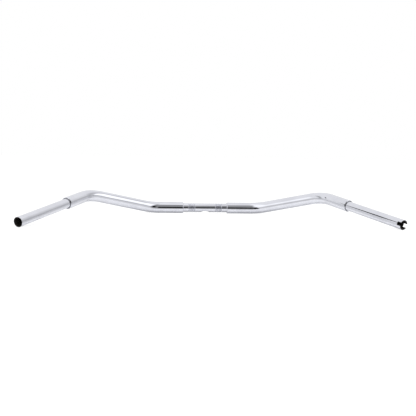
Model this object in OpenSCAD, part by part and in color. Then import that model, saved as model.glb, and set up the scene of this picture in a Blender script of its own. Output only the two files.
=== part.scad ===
// Motorcycle handlebar: two bent 1-1/4 inch arms with a 1 inch clamp tube between them and a
// 1 inch grip tube in each outer end. Millimetres. The origin is the middle of the clamp axis,
// +X is the rider's right, +Y is forward and +Z is up. The bar lies level, as on a bench.

/* [Outline] */
// Distance between the centres of the two open ends
end_span = 928; // [880:2:980]
// How far the centres of the ends lie behind the clamp axis
pullback = 357; // [335:1:400]
// Height of the centres of the ends above the clamp axis
end_rise = -3.3; // [-20:0.1:60]
// Distance between the corners of the two elbows
elbow_span = 648; // [620:2:680]
// How far the elbow corners lie behind the clamp axis
elbow_setback = 87; // [70:1:110]
// Height of the elbow corners above the clamp axis
elbow_rise = 42; // [20:1:70]
// Centre-line radius of the elbows
elbow_radius = 97; // [70:1:115]
// Distance between the corners of the two sweep bends beside the clamp section
sweep_span = 312; // [290:2:330]
// Centre-line radius of the sweep bends
sweep_radius = 104; // [70:1:125]

/* [Tubes] */
// Outside diameter of the two arms
arm_d = 31.75; // [30:0.05:35]
// Outside diameter of the clamp tube and the grip tubes
slim_d = 25.4; // [22.2:0.05:26]
// Wall of the clamp tube
clamp_wall = 3.05; // [1.6:0.05:4]
// Wall of the grip tubes
grip_wall = 1.65; // [1.2:0.05:2.5]
// Length of the spigot at the end of a slim tube, hidden inside the arm
spigot_length = 38; // [20:1:42]
// How far a spigot's radius is turned down, which leaves a shoulder on the arm's end face
spigot_relief = 0.25; // [0.15:0.01:0.5]
// Radial clearance between a spigot and the bore of the arm around it
slip_gap = 0.1; // [0.02:0.01:0.2]
// Chamfer on the outer edge of each arm's ends
arm_chamfer = 0.9; // [0.4:0.1:1.2]
// Chamfer on the edges of the slim tubes' ends
slim_chamfer = 0.4; // [0.2:0.1:0.5]
// Radius of the weld bead at the root of each step
weld_radius = 0.8; // [0.5:0.1:1.2]
// Depth of the weld bevel on a slim tube's shoulder, under the bead
weld_bevel = 0.1; // [0.05:0.01:0.14]

/* [Clamp section] */
// Bare length of the clamp tube between the arms
clamp_width = 127; // [120:1:140]
// Distance from the middle of the bar to the middle of each knurled band
knurl_offset = 38.6; // [34:0.1:42]
// Width of each knurled band
knurl_width = 19; // [12:0.5:24]
// Depth of the knurled bands below the tube's surface
knurl_depth = 0.5; // [0.2:0.1:0.8]
// Length of the wiring slot under the middle of the bar
entry_length = 25; // [20:0.5:30]
// Width of the wiring slot under the middle of the bar
entry_width = 17; // [10:0.5:18]

/* [Grips] */
// Bare length of each grip tube, from the arm to the open end
grip_length = 198; // [180:1:210]
// Distance from the arm to the middle of the wiring slot under each grip tube
exit_offset = 24; // [18:1:60]
// Length of the wiring slot under each grip tube
exit_length = 28; // [14:1:32]
// Width of the wiring slot under each grip tube
exit_width = 13; // [8:0.5:14]

/* [Throttle end] */
// Width of the two notches in the open right end
notch_width = 9; // [6:0.5:11]
// Depth of the two notches along the tube
notch_depth = 11; // [6:0.5:16]
// Corner radius at the bottom of the notches
notch_corner = 1.5; // [0.5:0.1:2.5]
// Turn of the notches about the tube, front notch downwards
notch_turn = 15; // [-45:1:45]

/* [Hidden] */
$fn = 96;

chrome = [0.80, 0.81, 0.84];
weld_chrome = [0.72, 0.73, 0.76];

arm_r = arm_d / 2;
slim_r = slim_d / 2;
spigot_r = slim_r - spigot_relief;
socket_r = spigot_r + slip_gap;
cut = 1;
// The hair-high ring that joins a leg to a bend, and the gap that it bridges between them
ring_height = 0.03;
ring_depth = 0.1;
ring_reach = 1.5;
ring_gap = 0.1;

function unit(v) = v / norm(v);
function turn(d_in, d_out) = acos(unit(d_in) * unit(d_out));
function setback(radius, d_in, d_out) = radius * tan(turn(d_in, d_out) / 2);

// The right half of the centre line is three straight legs that meet at two corners
sweep_corner = [sweep_span / 2, 0, 0];
elbow_corner = [elbow_span / 2, -elbow_setback, elbow_rise];
end_centre = [end_span / 2, -pullback, end_rise];
clamp_dir = [1, 0, 0];
arm_dir = unit(elbow_corner - sweep_corner);
grip_dir = unit(end_centre - elbow_corner);

// Where the arm starts, where its bends leave and rejoin the legs, and where it ends
clamp_step = [clamp_width / 2, 0, 0];
sweep_start = sweep_corner - clamp_dir * setback(sweep_radius, clamp_dir, arm_dir);
sweep_end = sweep_corner + arm_dir * setback(sweep_radius, clamp_dir, arm_dir);
elbow_start = elbow_corner - arm_dir * setback(elbow_radius, arm_dir, grip_dir);
elbow_end = elbow_corner + grip_dir * setback(elbow_radius, arm_dir, grip_dir);
grip_step = end_centre - grip_dir * grip_length;

// Puts the local Z axis along d at point p, with the local X axis on the underside
module along(p, d) {
    translate(p)
        rotate([0, acos(d.z), atan2(d.y, d.x)])
            children();
}

module leg(p, q, r) {
    along(p, unit(q - p))
        cylinder(h = norm(q - p), r = r);
}

// A round bend that is tangent to d_in where it starts and to d_out where it ends
module bend(start, d_in, d_out, radius, r) {
    inward = unit(d_out - d_in * (d_in * d_out));
    centre = start + inward * radius;
    x = -inward;
    y = d_in;
    z = cross(x, y);
    multmatrix([
        [x.x, y.x, z.x, centre.x],
        [x.y, y.y, z.y, centre.y],
        [x.z, y.z, z.z, centre.z],
        [0, 0, 0, 1]
    ])
        rotate_extrude(angle = turn(d_in, d_out))
            translate([radius, 0])
                circle(r = r);
}

// Laps over a leg that ends at p and over the bend beyond it, so that they join as one solid
module joining_ring(p, d, r) {
    along(p, d)
        rotate_extrude()
            polygon([
                [0, -ring_reach],
                [r - ring_depth, -ring_reach],
                [r + ring_height, 0],
                [r - ring_depth, ring_reach],
                [0, ring_reach]
            ]);
}

// The right arm's route as a solid rod of radius r
module arm_rod(r, overrun = 0) {
    leg(clamp_step - clamp_dir * overrun, sweep_start - clamp_dir * ring_gap, r);
    bend(sweep_start, clamp_dir, arm_dir, sweep_radius, r);
    leg(sweep_end + arm_dir * ring_gap, elbow_start - arm_dir * ring_gap, r);
    bend(elbow_start, arm_dir, grip_dir, elbow_radius, r);
    leg(elbow_end + grip_dir * ring_gap, grip_step + grip_dir * overrun, r);
    joining_ring(sweep_start, clamp_dir, r);
    joining_ring(sweep_end, arm_dir, r);
    joining_ring(elbow_start, arm_dir, r);
    joining_ring(elbow_end, grip_dir, r);
}

// What a chamfer takes off the rim of an arm, at an end face that looks along local -Z
module rim_cut() {
    rotate_extrude()
        polygon([
            [arm_r - arm_chamfer - cut, -cut],
            [arm_r + cut, -cut],
            [arm_r + cut, arm_chamfer + cut]
        ]);
}

module arm() {
    color(chrome)
        difference() {
            arm_rod(arm_r);
            arm_rod(socket_r, cut);
            along(clamp_step, clamp_dir) rim_cut();
            along(grip_step, -grip_dir) rim_cut();
        }
}

// Half sections of the slim tubes, with the end rims broken inside and outside. A spigot runs
// from its free end at height 0 to its shoulder at spigot_length, which is bevelled for the weld.
function spigot_outline(bore_r) = [
    [bore_r, slim_chamfer],
    [bore_r + slim_chamfer, 0],
    [spigot_r - slim_chamfer, 0],
    [spigot_r, slim_chamfer],
    [spigot_r, spigot_length],
    [slim_r - weld_bevel, spigot_length],
    [slim_r, spigot_length + weld_radius]
];
function open_end_outline(bore_r) = [
    [bore_r, slim_chamfer],
    [bore_r + slim_chamfer, 0],
    [slim_r - slim_chamfer, 0],
    [slim_r, slim_chamfer]
];
function flipped(outline, height) = [
    for (i = [len(outline) - 1 : -1 : 0]) [outline[i].x, height - outline[i].y]
];

module oblong(length, width) {
    square([length - width, width], center = true);
    for (side = [-1, 1])
        translate([side * (length - width) / 2, 0])
            circle(d = width);
}

// A wiring slot through the underside of a tube that lies along Z
module underside_slot(length, width) {
    rotate([0, 90, 0])
        linear_extrude(slim_r + cut)
            oblong(length, width);
}

// The shallow turned band that the knurl is rolled into
module knurl_groove() {
    rotate_extrude()
        polygon([
            [slim_r - knurl_depth, -knurl_width / 2 + knurl_depth],
            [slim_r + cut, -knurl_width / 2 - cut],
            [slim_r + cut, knurl_width / 2 + cut],
            [slim_r - knurl_depth, knurl_width / 2 - knurl_depth]
        ]);
}

module clamp_tube() {
    spigot = spigot_outline(slim_r - clamp_wall);
    length = clamp_width + 2 * spigot_length;
    color(chrome)
        along([0, 0, 0], clamp_dir)
            difference() {
                translate([0, 0, -length / 2])
                    rotate_extrude()
                        polygon(concat(spigot, flipped(spigot, length)));
                for (side = [-1, 1])
                    translate([0, 0, side * knurl_offset])
                        knurl_groove();
                underside_slot(entry_length, entry_width);
            }
}

module notch_profile() {
    reach = notch_width / 2 - notch_corner;
    translate([-notch_width / 2, notch_corner])
        square([notch_width, notch_depth]);
    translate([-reach, 0])
        square([2 * reach, notch_depth]);
    for (side = [-1, 1])
        translate([side * reach, notch_corner])
            circle(r = notch_corner);
}

// Both notches at once, cut across the open end of a grip tube
module end_notches() {
    translate([0, 0, grip_length - notch_depth])
        rotate([90, 0, -notch_turn])
            translate([0, 0, -slim_d])
                linear_extrude(2 * slim_d)
                    notch_profile();
}

// The right grip tube, with its spigot inside the arm
module grip_tube(notched) {
    bore_r = slim_r - grip_wall;
    length = spigot_length + grip_length;
    color(chrome)
        along(grip_step, grip_dir)
            difference() {
                translate([0, 0, -spigot_length])
                    rotate_extrude()
                        polygon(concat(
                            spigot_outline(bore_r),
                            flipped(open_end_outline(bore_r), length)
                        ));
                translate([0, 0, exit_offset])
                    underside_slot(exit_length, exit_width);
                if (notched) end_notches();
            }
}

// A round bead in the corner between a slim tube and the end face of an arm at local Z = 0.
// Its root fills the bevel on the tube's shoulder.
module weld_bead() {
    color(weld_chrome)
        rotate_extrude() {
            intersection() {
                translate([slim_r, 0]) circle(r = weld_radius);
                translate([slim_r, 0]) square(weld_radius);
            }
            polygon([[slim_r - weld_bevel, 0], [slim_r, 0], [slim_r, weld_radius]]);
        }
}

module left_side() {
    mirror([1, 0, 0]) children();
}

module right_arm() { arm(); }
module left_arm() { left_side() arm(); }
module right_grip_tube() { grip_tube(true); }
module left_grip_tube() { left_side() grip_tube(false); }
module right_clamp_weld() { along(clamp_step, -clamp_dir) weld_bead(); }
module left_clamp_weld() { left_side() right_clamp_weld(); }
module right_grip_weld() { along(grip_step, grip_dir) weld_bead(); }
module left_grip_weld() { left_side() right_grip_weld(); }

clamp_tube();
left_arm();
right_arm();
left_grip_tube();
right_grip_tube();
left_clamp_weld();
right_clamp_weld();
left_grip_weld();
right_grip_weld();
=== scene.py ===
"""Looks of the pull-back handlebar: chromed tubes, rolled knurls, weld beads and a white studio.

The pieces are built at the CAD model's sizes, in metres, and each stands for the CAD node of its name.
"""

import math

import bmesh
import bpy
from mathutils import Matrix, Quaternion, Vector


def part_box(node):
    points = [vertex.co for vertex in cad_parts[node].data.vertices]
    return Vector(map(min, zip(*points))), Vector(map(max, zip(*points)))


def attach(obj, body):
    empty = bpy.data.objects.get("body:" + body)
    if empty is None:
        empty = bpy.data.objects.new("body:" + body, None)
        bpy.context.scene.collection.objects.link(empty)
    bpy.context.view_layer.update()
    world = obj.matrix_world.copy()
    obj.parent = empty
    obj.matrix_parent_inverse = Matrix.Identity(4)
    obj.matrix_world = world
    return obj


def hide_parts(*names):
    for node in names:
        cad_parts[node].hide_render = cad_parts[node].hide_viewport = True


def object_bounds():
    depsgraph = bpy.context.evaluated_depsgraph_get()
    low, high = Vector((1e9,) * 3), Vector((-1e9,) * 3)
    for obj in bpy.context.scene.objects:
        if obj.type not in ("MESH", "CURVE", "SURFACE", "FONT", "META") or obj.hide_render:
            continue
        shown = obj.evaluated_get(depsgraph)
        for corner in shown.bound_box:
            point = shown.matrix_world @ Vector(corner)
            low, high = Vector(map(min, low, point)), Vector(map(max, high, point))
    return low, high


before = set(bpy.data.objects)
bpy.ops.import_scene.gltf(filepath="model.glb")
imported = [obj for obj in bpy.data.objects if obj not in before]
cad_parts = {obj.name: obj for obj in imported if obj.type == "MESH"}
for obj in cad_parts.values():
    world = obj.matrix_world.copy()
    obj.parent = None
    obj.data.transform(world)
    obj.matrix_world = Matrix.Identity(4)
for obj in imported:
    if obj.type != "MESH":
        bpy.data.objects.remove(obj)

CAD_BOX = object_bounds()
MM = 0.001
TAU = 2 * math.pi

# ---------- the bar's driving sizes, in mm, with the clamp axis along X and the rider at -Y ----------

SWEEP_CORNER = Vector((156, 0, 0))
ELBOW_CORNER = Vector((324, -87, 42))
END_CENTRE = Vector((464, -357, -3.3))
SWEEP_RADIUS = 104
ELBOW_RADIUS = 97

ARM_R = 15.875
SLIM_R = 12.7
SPIGOT_R = 12.45
SOCKET_R = 12.55
CLAMP_BORE_R = 9.65
GRIP_BORE_R = 11.05
CLAMP_HALF = 63.5
SPIGOT_LENGTH = 38
GRIP_LENGTH = 198
ARM_CHAMFER = 0.9
ARM_EDGE = 0.2          # rounding of the chamfer's own edges
SLIM_CHAMFER = 0.4
WELD_RADIUS = 0.8
WELD_BEVEL = 0.1
BEAD_RIPPLE = 0.09      # depth
BEAD_RIPPLES = 60       # round the tube

KNURL_OFFSET = 38.6
KNURL_HALF = 9.5
KNURL_DEPTH = 0.5       # from the plain tube to the bottom of a groove
KNURL_TEETH = 44        # round the tube
KNURL_SLANT = 30        # degrees between a groove and the axis
KNURL_HEIGHT = 0.42     # of a diamond
KNURL_FADE = 0.7        # length over which the diamonds rise at each end of a band
# Teeth that a groove passes in each mm of the axis
KNURL_RISE = math.tan(math.radians(KNURL_SLANT)) * KNURL_TEETH / (TAU * SLIM_R)

ENTRY_SLOT = (25, 17)   # length, width
EXIT_SLOT = (28, 13)
EXIT_OFFSET = 24        # from the arm's end to the middle of the slot
SLOT_EDGE = 0.3         # rounding of its edges

NOTCH_WIDTH = 9
NOTCH_DEPTH = 11
NOTCH_CORNER = 1.5
NOTCH_TURN = 15         # degrees that the notches are turned about the tube
RIM_EDGE = 0.4          # rounding of the open end's edges

# How finely each skin is divided, and how far the patches of skin reach round slots and notches
KNURL_CUTS = 10         # columns and rows to a tooth, so that a groove's wall is a tenth of its pitch
CLAMP_COLUMNS = KNURL_TEETH * KNURL_CUTS
ARM_COLUMNS = 144
GRIP_COLUMNS = 240
BEAD_COLUMNS = 480
BEND_STEP = 1.5         # degrees
EDGE_STEPS = 4
ROUND_STEPS = 3
BLEND_STEPS = 8
BEAD_STEPS = 8
SLOT_ROWS = 24
ENTRY_PATCH = (5, 78)   # mm beyond the slot's ends, degrees to each side of its middle
EXIT_PATCH = (6, 60)
NOTCH_PATCH = (9, 36)   # mm beyond the notch's bottom, degrees to each side of its middle
SAME_POINT = 0.002      # mm within which two points are one
SIZE_SLACK = 0.3        # mm by which a piece may miss its CAD node's box
TINY = 1e-9


# ---------- small geometry helpers ----------

def span(low, high, count):
    return [low + (high - low) * i / count for i in range(count + 1)]


def tangent_length(radius, a, b):
    return radius * math.tan(a.angle(b) / 2)


CLAMP_DIR = Vector((1, 0, 0))
ARM_DIR = (ELBOW_CORNER - SWEEP_CORNER).normalized()
GRIP_DIR = (END_CENTRE - ELBOW_CORNER).normalized()
GRIP_STEP = END_CENTRE - GRIP_DIR * GRIP_LENGTH


class Straight:
    """A straight tube's own directions: along its axis, towards its underside, and to its side."""

    def __init__(self, origin, axis):
        flat = Vector((axis.x, axis.y, 0)).normalized()
        tilt = math.acos(axis.z)
        self.origin = origin
        self.axis = axis
        self.down = flat * math.cos(tilt) - Vector((0, 0, math.sin(tilt)))
        self.side = Vector((-flat.y, flat.x, 0))

    def place(self, s, angle, r):
        across = self.down * math.cos(angle) + self.side * math.sin(angle)
        return self.origin + self.axis * s + across * r


class Route:
    """The centre line of the right arm: three straight legs with a round bend between each two."""

    def __init__(self):
        self.frames = []
        origin = Vector((CLAMP_HALF, 0, 0))
        self.state = [0.0, origin, CLAMP_DIR.copy(), Vector((0, 0, -1))]
        self.note()
        first = tangent_length(SWEEP_RADIUS, CLAMP_DIR, ARM_DIR)
        second = tangent_length(ELBOW_RADIUS, ARM_DIR, GRIP_DIR)
        self.run((SWEEP_CORNER - origin).length - first)
        self.turn(ARM_DIR, SWEEP_RADIUS)
        self.run((ELBOW_CORNER - SWEEP_CORNER).length - first - second)
        self.turn(GRIP_DIR, ELBOW_RADIUS)
        self.run((GRIP_STEP - ELBOW_CORNER).length - second)

    def note(self):
        s, point, along, down = self.state
        self.frames.append((s, point.copy(), along.copy(), down.copy()))

    def run(self, length):
        self.state[0] += length
        self.state[1] = self.state[1] + self.state[2] * length
        self.note()

    def turn(self, new_dir, radius):
        s, point, along, down = self.state
        axis = along.cross(new_dir).normalized()
        total = along.angle(new_dir)
        centre = point + axis.cross(along) * radius
        steps = math.ceil(math.degrees(total) / BEND_STEP)
        for i in range(1, steps + 1):
            spin = Quaternion(axis, total * i / steps)
            here = centre + spin @ (point - centre)
            self.state = [s + radius * total * i / steps, here, spin @ along, spin @ down]
            self.note()

    def length(self):
        return self.frames[-1][0]

    def stations(self, low, high):
        return [low] + [f[0] for f in self.frames if low < f[0] < high] + [high]

    def place(self, s, angle, r):
        later = next((i for i, f in enumerate(self.frames) if f[0] >= s), len(self.frames) - 1)
        near = self.frames[later]
        point = near[1] + near[2] * (s - near[0])
        side = near[2].cross(near[3])
        return point + (near[3] * math.cos(angle) + side * math.sin(angle)) * r


class Shell:
    """Rings of points and the skins between them, which close up into one mesh."""

    def __init__(self, way, columns):
        self.way = way
        self.columns = columns
        self.mesh = bmesh.new()

    def angles(self, low=0, high=None):
        high = self.columns - 1 if high is None else high
        return [TAU * i / self.columns for i in range(low, high + 1)]

    def skin(self, rings, closed=True, finish=0, smooth=True):
        """Joins rings of (s, angle, r), each to the next."""
        rows = [[self.mesh.verts.new(self.way.place(*p) * MM) for p in ring] for ring in rings]
        for a, b in zip(rows, rows[1:]):
            for i in range(len(a) if closed else len(a) - 1):
                j = (i + 1) % len(a)
                face = self.mesh.faces.new((a[i], a[j], b[j], b[i]))
                face.material_index = finish
                face.smooth = smooth

    def lathe(self, outline, finish=0, smooth=True):
        """Turns (s, r) points about the axis. r may be a function of s and the angle."""
        self.skin([self.ring(s, r) for s, r in outline], finish=finish, smooth=smooth)

    def ring(self, s, r):
        if callable(r):
            return [(s, angle, r(s, angle)) for angle in self.angles()]
        return [(s, angle, r) for angle in self.angles()]

    def piece(self, name, materials, mirrored=False):
        bmesh.ops.remove_doubles(self.mesh, verts=self.mesh.verts, dist=SAME_POINT * MM)
        if mirrored:
            bmesh.ops.scale(self.mesh, vec=(-1, 1, 1), verts=self.mesh.verts)
        bmesh.ops.recalc_face_normals(self.mesh, faces=self.mesh.faces)
        # The shorter diagonal joins a diamond's two low corners, so the grooves stay clean.
        cut = [face for face in self.mesh.faces if not face.smooth]
        bmesh.ops.triangulate(self.mesh, faces=cut, quad_method="SHORT_EDGE")
        data = bpy.data.meshes.new(name)
        self.mesh.to_mesh(data)
        self.mesh.free()
        for material in materials:
            data.materials.append(material)
        made = bpy.data.objects.new(name, data)
        bpy.context.scene.collection.objects.link(made)
        shading = made.modifiers.new("even_shading", "WEIGHTED_NORMAL")
        shading.weight = 100
        shading.keep_sharp = True
        return made


def rounded(points, radius):
    """A polyline of (s, r) points with each inner corner rounded off."""
    made = [points[0]]
    for before, here, after in zip(points, points[1:], points[2:]):
        p = Vector(here)
        a = Vector(before) - p
        b = Vector(after) - p
        reach = min(radius, a.length / 3, b.length / 3)
        start = p + a.normalized() * reach
        end = p + b.normalized() * reach
        for t in span(0, 1, ROUND_STEPS):
            made.append(tuple(start * (1 - t) ** 2 + p * 2 * t * (1 - t) + end * t ** 2))
    made.append(points[-1])
    return made


def blend(outer, inner):
    """Rings that pass evenly from one ring to another of as many points."""
    rings = []
    for t in span(0, 1, BLEND_STEPS):
        rings.append([tuple(p * (1 - t) + q * t for p, q in zip(a, b)) for a, b in zip(outer, inner)])
    return rings


# ---------- a slot through the underside of a tube ----------

def oblong_hit(dx, dy, length, width):
    """Where a line from the middle of an oblong, towards (dx, dy), meets its edge."""
    reach = (length - width) / 2
    radius = width / 2
    if abs(dy) > TINY and abs(dx) * radius / abs(dy) <= reach:
        t = radius / abs(dy)
        return dx * t, dy * t
    size = math.hypot(dx, dy)
    ux, uy = dx / size, dy / size
    middle = math.copysign(reach, ux)
    b = ux * middle
    t = b + math.sqrt(b * b - reach * reach + radius * radius)
    return ux * t, uy * t


class Slot:
    """An oblong slot with straight walls through the underside, and the patch of skin round it."""

    def __init__(self, middle, size, patch, columns):
        margin, turn = patch
        self.middle = middle
        self.length, self.width = size
        self.half = self.length / 2 + margin
        self.half_columns = columns * turn // 360
        self.rows = span(middle - self.half, middle + self.half, SLOT_ROWS)

    def border(self, shell):
        """The patch's edge, once round, as (share along, share across, s, angle).

        The shares run from -1 to 1 over the patch's length and width.
        """
        reach = self.half_columns
        turn = TAU / shell.columns
        across = [(i / reach, i * turn) for i in range(-reach, reach + 1)]
        along = [((s - self.middle) / self.half, s) for s in self.rows]
        edge = [(-1, v, self.rows[0], angle) for v, angle in across]
        edge += [(u, 1, s, reach * turn) for u, s in along[1:]]
        edge += [(1, v, self.rows[-1], angle) for v, angle in reversed(across[:-1])]
        edge += [(u, -1, s, -reach * turn) for u, s in reversed(along[1:-1])]
        return edge

    def rim(self, shell, offset, r):
        """The slot's edge, set back by offset, at radius r."""
        ring = []
        for u, v, _, _ in self.border(shell):
            size = (self.length + 2 * offset, self.width + 2 * offset)
            x, y = oblong_hit(u * self.length, v * self.width, *size)
            ring.append((self.middle + x, math.asin(y / r), r))
        return ring

    def skin(self, shell, r, edge_offset, finish=0):
        """The tube's wall at radius r beside the slot, and the patch from there to the slot's edge."""
        low = self.half_columns
        arc = shell.angles(low, shell.columns - low)
        shell.skin([[(s, a, r) for a in arc] for s in self.rows], closed=False, finish=finish)
        outside = [(s, a, r) for _, _, s, a in self.border(shell)]
        shell.skin(blend(outside, self.rim(shell, edge_offset, r)), finish=finish)

    def walls(self, shell, outer_r, inner_r):
        rings = [self.rim(shell, o, outer_r - d) for o, d in edge_arc(SLOT_EDGE)]
        rings += [self.rim(shell, o, inner_r + d) for o, d in reversed(edge_arc(SLOT_EDGE))]
        shell.skin(rings)


def edge_arc(radius):
    """A rounded edge from a tube's surface to a wall, as (set back from the wall, depth) pairs."""
    turns = span(0, math.pi / 2, EDGE_STEPS)
    return [(radius * (1 - math.sin(t)), radius * (1 - math.cos(t))) for t in turns]


# ---------- the open end of a grip tube ----------

def notch_point(share, offset):
    """A point of the notch's outline, as (across, depth), for a share of its way round from 0 to 1."""
    half = NOTCH_WIDTH / 2 + offset
    depth = NOTCH_DEPTH + offset
    corner = NOTCH_CORNER + offset
    wall = depth - corner
    bend = corner * math.pi / 2
    floor = 2 * (half - corner)
    way = share * (2 * wall + 2 * bend + floor)
    if way > wall + bend + floor / 2:
        x, y = notch_point(1 - share, offset)
        return -x, y
    if way <= wall:
        return -half, way
    if way <= wall + bend:
        turn = (way - wall) / corner
        return -half + corner * (1 - math.cos(turn)), wall + corner * math.sin(turn)
    return -half + corner + (way - wall - bend), depth


def end_ring(shell, notched, offset, r):
    """The rim of the open end, set back by offset, at radius r. It dips into the notches, if any."""
    if not notched:
        return [(GRIP_LENGTH - offset, a, r) for a in shell.angles()]
    half_turn = shell.columns // 2
    zone = shell.columns * NOTCH_PATCH[1] // 360
    mouth = math.asin((NOTCH_WIDTH / 2 + offset) / r)
    first = round(shell.columns * (90 - NOTCH_TURN) / 360)
    ring = [None] * shell.columns
    for side in (0, 1):
        middle = first + side * half_turn
        centre = TAU * middle / shell.columns
        for i in range(-zone, zone + 1):
            x, depth = notch_point((i + zone) / (2 * zone), offset)
            depth = max(depth, offset)
            ring[(middle + i) % shell.columns] = (GRIP_LENGTH - depth, centre + math.asin(x / r), r)
        plain = half_turn - 2 * zone
        for i in range(1, plain):
            angle = centre + mouth + (math.pi - 2 * mouth) * i / plain
            ring[(middle + zone + i) % shell.columns] = (GRIP_LENGTH - offset, angle, r)
    return ring


def unwrapped(ring, like):
    """The ring with each angle brought within half a turn of the matching one in another ring."""
    made = []
    for (s, a, r), (_, b, _) in zip(ring, like):
        made.append((s, a - TAU * round((a - b) / TAU), r))
    return made


# ---------- the pieces ----------

def knurl(s, angle):
    """Radius in a knurled band: two sets of slanting grooves leave small flat-topped diamonds."""
    along = abs(s) - KNURL_OFFSET
    turns = KNURL_TEETH * angle / TAU
    heights = []
    for phase in (turns + along * KNURL_RISE, turns - along * KNURL_RISE):
        heights.append(min(1, KNURL_CUTS * abs(phase - round(phase))))
    fade = min(1, max(0, (KNURL_HALF - KNURL_DEPTH - abs(along)) / KNURL_FADE))
    return SLIM_R - KNURL_DEPTH + KNURL_HEIGHT * fade * min(heights)


def knurl_band(side):
    """(s, r) rows of one knurled band. The grooves run through the corners of the skin's faces."""
    middle = side * KNURL_OFFSET
    flat = KNURL_HALF - KNURL_DEPTH
    step = 1 / (KNURL_CUTS * KNURL_RISE)
    reach = int(flat / step)
    rows = [middle - flat] + [middle + step * i for i in range(-reach, reach + 1)] + [middle + flat]
    before = (middle - KNURL_HALF, SLIM_R)
    after = (middle + KNURL_HALF, SLIM_R)
    return [before] + [(s, knurl) for s in rows] + [after]


def spigot(bore_r, end, towards):
    """A slim tube's hidden end, from its bore to the bevelled shoulder, as (s, r) points."""
    c = SLIM_CHAMFER
    points = [(c, bore_r), (0, bore_r + c), (0, SPIGOT_R - c), (c, SPIGOT_R)]
    points += [(SPIGOT_LENGTH, SPIGOT_R), (SPIGOT_LENGTH, SLIM_R - WELD_BEVEL)]
    points += [(SPIGOT_LENGTH + WELD_RADIUS, SLIM_R)]
    return [(end + towards * s, r) for s, r in points]


def clamp_tube(materials):
    way = Straight(Vector((0, 0, 0)), CLAMP_DIR)
    shell = Shell(way, CLAMP_COLUMNS)
    slot = Slot(0, ENTRY_SLOT, ENTRY_PATCH, CLAMP_COLUMNS)
    end = CLAMP_HALF + SPIGOT_LENGTH
    left = spigot(CLAMP_BORE_R, -end, 1)
    right = spigot(CLAMP_BORE_R, end, -1)
    low_band, high_band = knurl_band(-1), knurl_band(1)
    shell.lathe(left + low_band[:1])
    shell.lathe(low_band, smooth=False)
    shell.lathe([low_band[-1], (slot.rows[0], SLIM_R)])
    shell.lathe([(slot.rows[-1], SLIM_R), high_band[0]])
    shell.lathe(high_band, smooth=False)
    shell.lathe(high_band[-1:] + right[::-1])
    shell.lathe([right[0], (slot.rows[-1], CLAMP_BORE_R)], finish=1)
    shell.lathe([(slot.rows[0], CLAMP_BORE_R), left[0]], finish=1)
    slot.skin(shell, SLIM_R, SLOT_EDGE)
    slot.skin(shell, CLAMP_BORE_R, SLOT_EDGE, finish=1)
    slot.walls(shell, SLIM_R, CLAMP_BORE_R)
    return shell.piece("clamp_tube_chromed", materials)


def arm(side, materials):
    way = Route()
    shell = Shell(way, ARM_COLUMNS)
    end = way.length()
    c = ARM_CHAMFER
    lead = 3 * c
    near = rounded([(0, SOCKET_R), (0, ARM_R - c), (c, ARM_R), (lead, ARM_R)], ARM_EDGE)
    far = [(end - s, r) for s, r in reversed(near)]
    outside = [(s, ARM_R) for s in way.stations(lead, end - lead)]
    inside = [(s, SOCKET_R) for s in reversed(way.stations(0, end))]
    shell.lathe(near[1:] + outside[1:-1] + far[:-1])
    shell.lathe(near[:2], finish=2)
    shell.lathe(far[-2:], finish=2)
    shell.lathe(inside, finish=1)
    return shell.piece(side + "_arm_chromed", materials, mirrored=side == "left")


def grip_tube(side, notched, materials):
    way = Straight(GRIP_STEP, GRIP_DIR)
    shell = Shell(way, GRIP_COLUMNS)
    slot = Slot(EXIT_OFFSET, EXIT_SLOT, EXIT_PATCH, GRIP_COLUMNS)
    last = GRIP_LENGTH - NOTCH_DEPTH - NOTCH_PATCH[0]
    hidden = spigot(GRIP_BORE_R, -SPIGOT_LENGTH, 1)
    shell.lathe(hidden + [(slot.rows[0], SLIM_R)])
    shell.lathe([(slot.rows[-1], SLIM_R), (last, SLIM_R)])
    shell.lathe([(slot.rows[0], GRIP_BORE_R), hidden[0]], finish=1)
    shell.lathe([(last, GRIP_BORE_R), (slot.rows[-1], GRIP_BORE_R)], finish=1)
    slot.skin(shell, SLIM_R, SLOT_EDGE)
    slot.skin(shell, GRIP_BORE_R, SLOT_EDGE, finish=1)
    slot.walls(shell, SLIM_R, GRIP_BORE_R)
    open_end(shell, notched, last)
    return shell.piece(side + "_grip_tube_chromed", materials, mirrored=side == "left")


def open_end(shell, notched, last):
    for r, finish in ((SLIM_R, 0), (GRIP_BORE_R, 1)):
        start = shell.ring(last, r)
        rim = unwrapped(end_ring(shell, notched, RIM_EDGE, r), start)
        shell.skin(blend(start, rim), finish=finish)
    outer = [end_ring(shell, notched, o, SLIM_R - d) for o, d in edge_arc(RIM_EDGE)]
    inner = [end_ring(shell, notched, o, GRIP_BORE_R + d) for o, d in reversed(edge_arc(RIM_EDGE))]
    shell.skin(outer)
    shell.skin([outer[-1]] + inner, finish=1)


def bead(side, place, materials):
    """A weld bead in the corner at an arm's end: a rippled quarter round, and its hidden root."""
    if place == "clamp":
        way = Straight(Vector((CLAMP_HALF, 0, 0)), -CLAMP_DIR)
    else:
        way = Straight(GRIP_STEP, GRIP_DIR)
    shell = Shell(way, BEAD_COLUMNS)
    outline = []
    for turn in span(0, math.pi / 2, BEAD_STEPS):
        outline.append((WELD_RADIUS * math.sin(turn), bead_radius(turn)))
    outline += [(0, SLIM_R - WELD_BEVEL), (0, SLIM_R + WELD_RADIUS)]
    shell.lathe(outline)
    return shell.piece(side + "_" + place + "_bead", materials, mirrored=side == "left")


def bead_radius(turn):
    """The bead's radius at one height, which ripples round the tube where it stands free."""
    def radius(_, angle):
        ripple = BEAD_RIPPLE * (1 - abs(math.sin(BEAD_RIPPLES * angle / 2))) * math.sin(2 * turn)
        return SLIM_R + WELD_RADIUS * math.cos(turn) - ripple
    return radius


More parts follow.
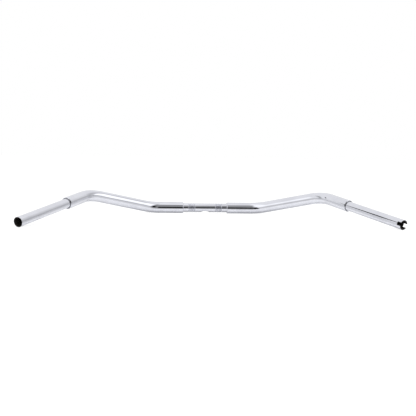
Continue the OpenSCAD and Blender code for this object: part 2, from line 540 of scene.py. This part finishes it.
def dress(piece, node):
    """Rides a piece on the bar in place of its CAD node, once it is seen to have that node's size."""
    low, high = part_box(node)
    for i in range(3):
        made = [v.co[i] for v in piece.data.vertices]
        miss = max(abs(min(made) - low[i]), abs(max(made) - high[i]))
        if miss > SIZE_SLACK * MM:
            raise ValueError(f"{piece.name} misses the box of {node} by {miss / MM:.2f} mm")
    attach(piece, "root")
    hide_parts(node)


# ---------- materials ----------

class Graph:
    """Short calls for making shader nodes."""

    def __init__(self, tree):
        self.tree = tree
        self.tree.nodes.clear()

    def node(self, kind, **settings):
        made = self.tree.nodes.new(kind)
        for name, value in settings.items():
            setattr(made, name, value)
        return made

    def link(self, source, target):
        self.tree.links.new(source, target)

    def fill(self, socket, value):
        if isinstance(value, bpy.types.NodeSocket):
            self.link(value, socket)
        else:
            socket.default_value = value

    def math(self, operation, a, b=0.0, c=0.0):
        made = self.node("ShaderNodeMath", operation=operation)
        self.fill(made.inputs[0], a)
        self.fill(made.inputs[1], b)
        self.fill(made.inputs[2], c)
        return made.outputs[0]

    def ramp(self, value, low, high, to_low=0.0, to_high=1.0):
        made = self.node("ShaderNodeMapRange", interpolation_type="SMOOTHSTEP")
        self.fill(made.inputs["Value"], value)
        made.inputs["From Min"].default_value = low
        made.inputs["From Max"].default_value = high
        made.inputs["To Min"].default_value = to_low
        made.inputs["To Max"].default_value = to_high
        return made.outputs["Result"]

    def mix(self, share, a, b):
        made = self.node("ShaderNodeMix", data_type="FLOAT")
        self.fill(made.inputs[0], share)
        self.fill(made.inputs[2], a)
        self.fill(made.inputs[3], b)
        return made.outputs[0]

    def mix_colour(self, share, a, b):
        made = self.node("ShaderNodeMix", data_type="RGBA")
        self.fill(made.inputs[0], share)
        self.fill(made.inputs[6], (*a, 1) if isinstance(a, tuple) else a)
        self.fill(made.inputs[7], (*b, 1) if isinstance(b, tuple) else b)
        return made.outputs[2]

    def noise(self, place, size_mm, detail=2.0, stretch=(1, 1, 1)):
        """Noise whose blobs are about size_mm across, drawn out along an axis by stretch."""
        scaled = self.node("ShaderNodeMapping")
        self.link(place, scaled.inputs["Vector"])
        scaled.inputs["Scale"].default_value = [1 / k for k in stretch]
        made = self.node("ShaderNodeTexNoise")
        self.link(scaled.outputs[0], made.inputs["Vector"])
        made.inputs["Scale"].default_value = 1 / (size_mm * MM)
        made.inputs["Detail"].default_value = detail
        return made.outputs[0]

    def bump(self, height, depth_mm, below=None):
        made = self.node("ShaderNodeBump")
        made.inputs["Distance"].default_value = depth_mm * MM
        self.link(height, made.inputs["Height"])
        if below is not None:
            self.link(below, made.inputs["Normal"])
        return made.outputs[0]


CHROME = (0.76, 0.77, 0.827)
CHROME_HAZE = (0.70, 0.71, 0.768)
CHROME_ROUGHNESS = 0.05
CHROME_WAVE = 0.03              # mm that the tube's slow waves rise
HAIR_DEPTH = 0.0006             # mm
SMUDGE_RANGE = (0.7, 1.5)       # times the chrome's roughness
GROOVE_CHROME = (0.72, 0.73, 0.78)
BAND_ROUGHNESS = 0.22           # of a knurled band
GROOVE_FLOOR = (0.05, 0.25)     # mm above a groove's bottom over which its own colour ends
TUBE_WALL = (0.35, 0.30)        # mm below a groove's bottom over which a band's finish begins
BAND_TOP = (0.06, 0.02)         # mm below the plain tube's skin over which a band's roughness ends
DULL_CHROME = (0.70, 0.71, 0.76)
# dark tones of the end faces and grip beads: partly thin plating, partly painted shade of the corner
# at each step
SHADED_PLATE = (0.38, 0.38, 0.40)
SHADED_PLATE_STAIN = (0.18, 0.18, 0.19)
PLATE_ROUGHNESS = (0.22, 0.4)   # clean, stained
# the bore's steel and rust, both darkened as painted shade of the tube's inside
SHADED_BORE_STEEL = (0.085, 0.083, 0.08)
SHADED_BORE_RUST = (0.06, 0.045, 0.035)
BORE_METALLIC = 0.7
BORE_ROUGHNESS = (0.5, 0.85)    # bare, rusty


def shell_material(name):
    material = bpy.data.materials.new(name)
    material.use_nodes = True
    g = Graph(material.node_tree)
    shader = g.node("ShaderNodeBsdfPrincipled")
    out = g.node("ShaderNodeOutputMaterial")
    g.link(shader.outputs[0], out.inputs["Surface"])
    place = g.node("ShaderNodeTexCoord").outputs["Object"]
    return material, g, shader, place


def chrome(name, knurled=False):
    """Polished chrome: faint haze and smudges, hair scratches, and the tube's slow waves under it."""
    material, g, shader, place = shell_material(name)
    shader.inputs["Metallic"].default_value = 1.0
    haze = g.noise(place, size_mm=35, detail=4)
    smudge = g.noise(place, size_mm=9, detail=5)
    hair = g.noise(place, size_mm=0.25, detail=2, stretch=(1, 12, 12))
    colour = g.mix_colour(g.ramp(haze, low=0.35, high=0.75), CHROME, CHROME_HAZE)
    smooth, rough = (CHROME_ROUGHNESS * k for k in SMUDGE_RANGE)
    roughness = g.ramp(smudge, low=0.3, high=0.8, to_low=smooth, to_high=rough)
    if knurled:
        valley, band = knurl_masks(g, place)
        colour = g.mix_colour(valley, colour, GROOVE_CHROME)
        roughness = g.mix(band, roughness, BAND_ROUGHNESS)
    g.link(colour, shader.inputs["Base Color"])
    g.link(roughness, shader.inputs["Roughness"])
    waves = g.bump(g.noise(place, size_mm=28, detail=1), depth_mm=CHROME_WAVE)
    g.link(g.bump(hair, depth_mm=HAIR_DEPTH, below=waves), shader.inputs["Normal"])
    return material


def knurl_masks(g, place):
    """1 at the bottom of the knurl's grooves, and 1 on its bands below the plain tube's skin."""
    split = g.node("ShaderNodeSeparateXYZ")
    g.link(place, split.inputs[0])
    y = g.math("MULTIPLY", split.outputs["Y"], split.outputs["Y"])
    z = g.math("MULTIPLY", split.outputs["Z"], split.outputs["Z"])
    r = g.math("SQRT", g.math("ADD", y, z))
    bottom = SLIM_R - KNURL_DEPTH
    floor = [(bottom + up) * MM for up in GROOVE_FLOOR]
    wall = [(bottom - down) * MM for down in TUBE_WALL]
    top = [(SLIM_R - down) * MM for down in BAND_TOP]
    groove = g.ramp(r, *floor, to_low=1.0, to_high=0.0)
    outer = g.ramp(r, *wall)
    beyond = g.math("ABSOLUTE", split.outputs["X"])
    within = g.math("LESS_THAN", beyond, (KNURL_OFFSET + KNURL_HALF) * MM)
    near = g.math("MULTIPLY", outer, within)
    below = g.ramp(r, *top, to_low=1.0, to_high=0.0)
    return g.math("MULTIPLY", groove, near), g.math("MULTIPLY", below, near)


def corner_plate(name, clean, stained):
    """Plating in and round the corners at the welds: dull, with darker stains. Where the colours given
    are dark, they are partly thin plating and partly painted shade of the corner at each step.
    """
    material, g, shader, place = shell_material(name)
    shader.inputs["Metallic"].default_value = 1.0
    stain = g.ramp(g.noise(place, size_mm=3, detail=4), low=0.4, high=0.65)
    grain = g.noise(place, size_mm=0.5, detail=3)
    g.link(g.mix_colour(stain, clean, stained), shader.inputs["Base Color"])
    g.link(g.mix(stain, *PLATE_ROUGHNESS), shader.inputs["Roughness"])
    g.link(g.bump(grain, depth_mm=0.02), shader.inputs["Normal"])
    return material


def shaded_bore_steel():
    """The unplated bore: dull drawn steel with a little rust, its colours darkened far below bare
    steel's as painted shade of the tube's inside.
    """
    material, g, shader, place = shell_material("shaded_bore_steel")
    shader.inputs["Metallic"].default_value = BORE_METALLIC
    rust = g.ramp(g.noise(place, size_mm=4, detail=6), low=0.45, high=0.65)
    grain = g.noise(place, size_mm=0.8, detail=3)
    g.link(g.mix_colour(rust, SHADED_BORE_STEEL, SHADED_BORE_RUST), shader.inputs["Base Color"])
    g.link(g.mix(rust, *BORE_ROUGHNESS), shader.inputs["Roughness"])
    g.link(g.bump(grain, depth_mm=0.05), shader.inputs["Normal"])
    return material


# ---------- studio ----------

CAMERA_PLACE = Vector((-0.1346, -2.0198, 0.1973))
CAMERA_TURN = -4.065     # degrees from straight ahead: below 0 is to the right
CAMERA_DIP = 5.586       # degrees below level
CAMERA_ROLL = 0.941      # degrees
CAMERA_LENS = 60.58      # mm
CAMERA_SENSOR = 36.0     # mm
CAMERA_REACH = 50.0      # m

WHITE_LEVEL = 1.0        # what the camera sees behind the bar
DIFFUSE_LEVEL = 0.85     # what lights matt surfaces
ROOM_LEVEL = 0.95        # what the metal sees between the cards
FLOOR_SIZE = 12.0
FLOOR_SEEN = (0.3, 0.80)     # the floor's grey and glow to the camera
FLOOR_MIRRORED = (0.7, 0.2)  # and to the metal, which so shows the bar's own shadow
FLOOR_GRAZE = (0.52, 0.60)   # facing values between which the metal stops seeing the floor
LAMP_POWER = 20.0        # W
LAMP_SIZE = (2.0, 1.2)   # m
LAMP_PLACE = (0.3, -0.4, 1.8)

# What the metal sees round the studio, each in front of the last: middle (degrees round from the
# camera's side towards +X, degrees up), half width, half height, width of the soft edge, and level.
# They follow the photograph's reflections. A fit found eight of them, and all were then set
# to rounder values.
CARDS = (
    ("low_walls", 0, -5, 360, 14, 8, 0.80),
    ("right_walls", 90, 8, 90, 8, 5, 0.60),
    ("left_walls", -60, -5, 40, 6, 5, 0.65),
    ("right_wall", 105, 20, 10, 45, 35, 0.55),
    ("left_wall", -85, 20, 4, 22, 10, 0.40),
    ("left_stand", -106, 23, 2, 8, 1, 0.0),
    ("right_box", 60, 35, 30, 20, 5, 1.40),
    ("left_box", -20, 55, 40, 40, 10, 1.25),
    ("front_grey", 10, 20, 20, 45, 20, 0.35),
    ("front_dark", -5, 5, 15, 13, 7, 0.0),
    ("left_flag", -15, -10, 8, 10, 8, 0.0),
    ("right_flag", 25, 15, 8, 20, 15, 0.0),
)


def add_camera():
    data = bpy.data.cameras.new("camera")
    data.lens = CAMERA_LENS
    data.sensor_width = CAMERA_SENSOR
    data.clip_end = CAMERA_REACH
    camera = bpy.data.objects.new("camera", data)
    bpy.context.scene.collection.objects.link(camera)
    turn = Matrix.Rotation(math.radians(CAMERA_TURN), 4, "Z")
    dip = Matrix.Rotation(math.radians(90 - CAMERA_DIP), 4, "X")
    roll = Matrix.Rotation(math.radians(CAMERA_ROLL), 4, "Z")
    camera.matrix_world = Matrix.Translation(CAMERA_PLACE) @ turn @ dip @ roll
    bpy.context.scene.camera = camera


def around(g, azimuth, middle):
    """How far an azimuth is from a card's middle, in degrees, the short way round."""
    turned = g.math("SUBTRACT", azimuth, middle)
    return g.math("ABSOLUTE", g.math("WRAP", turned, 180.0, -180.0))


def studio_light(g):
    """The light that comes from each direction: a pale room with soft cards in it."""
    place = g.node("ShaderNodeTexCoord")
    split = g.node("ShaderNodeSeparateXYZ")
    g.link(place.outputs["Generated"], split.inputs[0])
    back = g.math("MULTIPLY", split.outputs["Y"], -1.0)
    azimuth = g.math("MULTIPLY", g.math("ARCTAN2", split.outputs["X"], back), 180 / math.pi)
    elevation = g.math("MULTIPLY", g.math("ARCSINE", split.outputs["Z"]), 180 / math.pi)
    level = ROOM_LEVEL
    for _, az, el, half_w, half_h, edge, light in CARDS:
        wide = g.ramp(around(g, azimuth, az), half_w - edge / 2, half_w + edge / 2, 1.0, 0.0)
        off = g.math("ABSOLUTE", g.math("SUBTRACT", elevation, el))
        high = g.ramp(off, half_h - edge / 2, half_h + edge / 2, 1.0, 0.0)
        level = g.mix(g.math("MULTIPLY", wide, high), level, light)
    return level


def add_world():
    world = bpy.data.worlds.new("studio")
    world.use_nodes = True
    bpy.context.scene.world = world
    g = Graph(world.node_tree)
    path = g.node("ShaderNodeLightPath")
    seen = g.math("MAXIMUM", path.outputs["Is Camera Ray"], path.outputs["Is Transmission Ray"])
    level = g.mix(path.outputs["Is Glossy Ray"], DIFFUSE_LEVEL, studio_light(g))
    level = g.mix(seen, level, WHITE_LEVEL)
    light = g.node("ShaderNodeBackground")
    light.inputs["Color"].default_value = (1, 1, 1, 1)
    g.link(level, light.inputs["Strength"])
    out = g.node("ShaderNodeOutputWorld")
    g.link(light.outputs[0], out.inputs["Surface"])


def add_floor():
    """A pale floor with the bar's shadow. It is clear from below and to the metal at a flat angle."""
    half = FLOOR_SIZE / 2
    low = CAD_BOX[0].z
    data = bpy.data.meshes.new("floor")
    corners = [(-half, -half, low), (half, -half, low), (half, half, low), (-half, half, low)]
    data.from_pydata(corners, [], [(0, 1, 2, 3)])
    floor = bpy.data.objects.new("floor", data)
    bpy.context.scene.collection.objects.link(floor)
    material = bpy.data.materials.new("floor")
    material.use_nodes = True
    g = Graph(material.node_tree)
    path = g.node("ShaderNodeLightPath")
    seen = g.math("MAXIMUM", path.outputs["Is Camera Ray"], path.outputs["Is Transmission Ray"])
    mirrored = path.outputs["Is Glossy Ray"]
    matt = g.node("ShaderNodeBsdfDiffuse")
    g.link(g.mix(seen, FLOOR_MIRRORED[0], FLOOR_SEEN[0]), matt.inputs["Color"])
    glow = g.node("ShaderNodeEmission")
    strength = g.mix(seen, g.math("MULTIPLY", mirrored, FLOOR_MIRRORED[1]), FLOOR_SEEN[1])
    g.link(strength, glow.inputs["Strength"])
    both = g.node("ShaderNodeAddShader")
    g.link(matt.outputs[0], both.inputs[0])
    g.link(glow.outputs[0], both.inputs[1])
    graze = g.ramp(g.node("ShaderNodeLayerWeight").outputs["Facing"], *FLOOR_GRAZE)
    below = g.node("ShaderNodeNewGeometry").outputs["Backfacing"]
    beyond = g.node("ShaderNodeMixShader")
    g.link(g.math("MAXIMUM", g.math("MULTIPLY", graze, mirrored), below), beyond.inputs[0])
    g.link(both.outputs[0], beyond.inputs[1])
    g.link(g.node("ShaderNodeBsdfTransparent").outputs[0], beyond.inputs[2])
    out = g.node("ShaderNodeOutputMaterial")
    g.link(beyond.outputs[0], out.inputs["Surface"])
    data.materials.append(material)


def add_lamp():
    data = bpy.data.lights.new("soft_lamp", "AREA")
    data.energy = LAMP_POWER
    data.shape = "RECTANGLE"
    data.size, data.size_y = LAMP_SIZE
    lamp = bpy.data.objects.new("soft_lamp", data)
    lamp.location = LAMP_PLACE
    lamp.visible_glossy = False
    bpy.context.scene.collection.objects.link(lamp)


def add_bar():
    # the bore's dark colour is painted shade of the tube's inside
    bore = shaded_bore_steel()
    tube = chrome("tube_chrome")
    knurled = chrome("knurled_chrome", knurled=True)
    # end faces and grip beads: their dark tones are partly painted shade of the corner at each step
    end_face = corner_plate("end_face_shaded_chrome", DULL_CHROME, SHADED_PLATE)
    weld = {
        "clamp": corner_plate("clamp_bead_chrome", CHROME_HAZE, DULL_CHROME),
        "grip": corner_plate("grip_bead_shaded_chrome", SHADED_PLATE, SHADED_PLATE_STAIN),
    }
    dress(clamp_tube([knurled, bore]), "clamp_tube")
    for side in ("left", "right"):
        dress(arm(side, [tube, bore, end_face]), side + "_arm")
        dress(grip_tube(side, side == "right", [tube, bore]), side + "_grip_tube")
        for place in ("clamp", "grip"):
            dress(bead(side, place, [weld[place]]), side + "_" + place + "_weld")


bpy.context.scene.view_settings.view_transform = "Standard"
add_camera()
add_world()
add_floor()
add_lamp()
add_bar()
